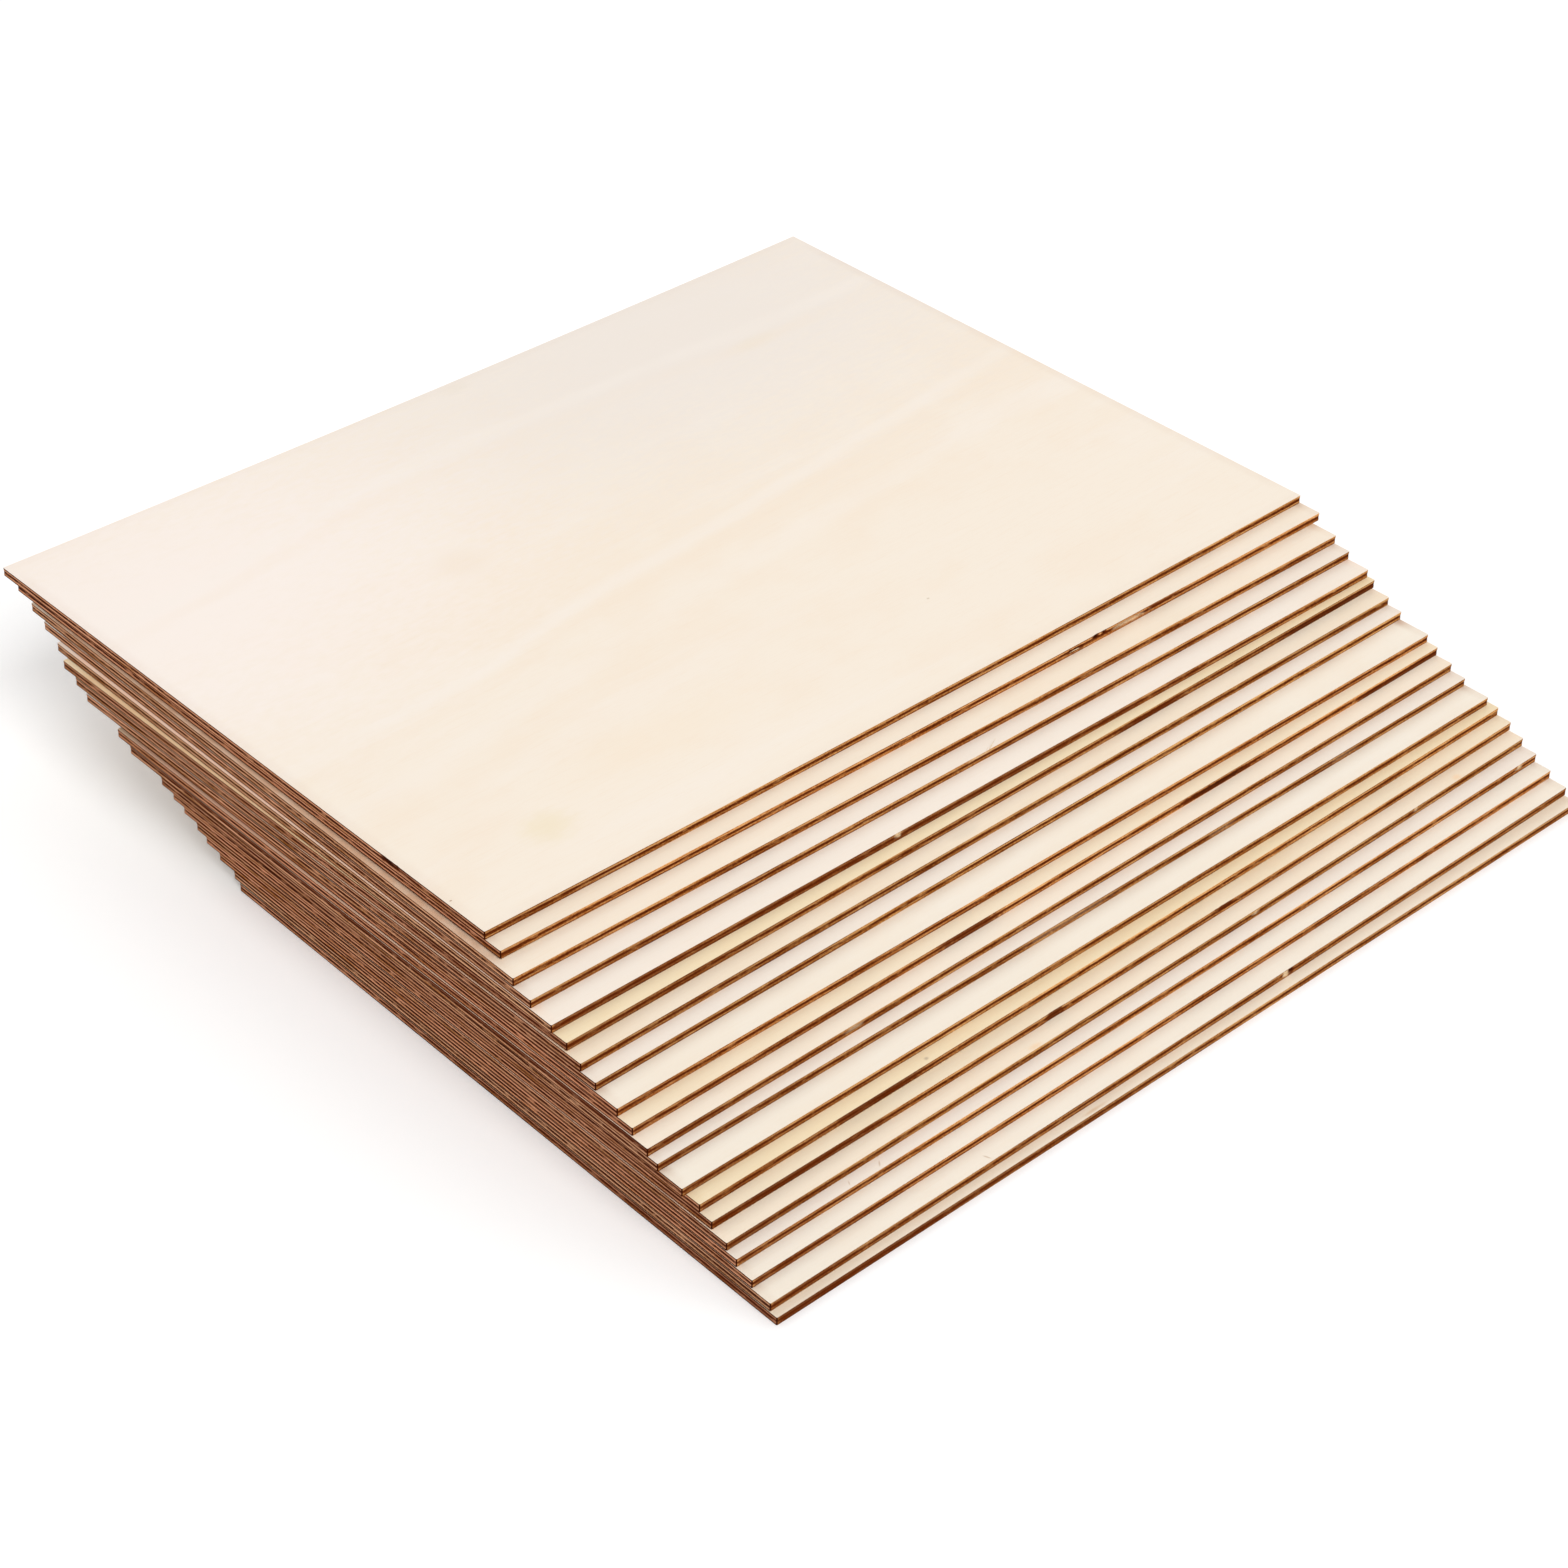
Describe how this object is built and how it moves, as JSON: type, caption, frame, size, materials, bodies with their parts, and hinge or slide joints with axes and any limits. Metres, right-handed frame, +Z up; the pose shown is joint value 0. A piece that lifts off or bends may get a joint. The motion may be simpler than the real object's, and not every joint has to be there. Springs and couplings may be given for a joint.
{
  "type": "stack of plywood sheets",
  "caption": "Slid-over stack of thin rectangular three-ply plywood sheets with charred brown cut edges, its long edges fanned out like a flight of low steps.",
  "frame": {"origin": "on the floor, in the middle of the stack's outline seen from above", "axes": "+X along the sheets' long side, +Y along their short side, towards the side that the top sheet leans to, and +Z up; the lower sheets stand out towards -Y, which is the front"},
  "size_m": [0.3012, 0.3142, 0.0524],
  "materials": {
    "plywood": "bare sanded veneer, brown burnt edges"
  },
  "bodies": {
    "root": {"sheet_01": "plywood", "sheet_02": "plywood", "sheet_03": "plywood", "sheet_04": "plywood", "sheet_05": "plywood", "sheet_06": "plywood", "sheet_07": "plywood", "sheet_08": "plywood", "sheet_09": "plywood", "sheet_10": "plywood", "sheet_11": "plywood", "sheet_12": "plywood", "sheet_13": "plywood", "sheet_14": "plywood", "sheet_15": "plywood", "sheet_16": "plywood", "sheet_17": "plywood", "sheet_18": "plywood", "sheet_19": "plywood", "sheet_20": "plywood"}
  },
  "joints": []
}
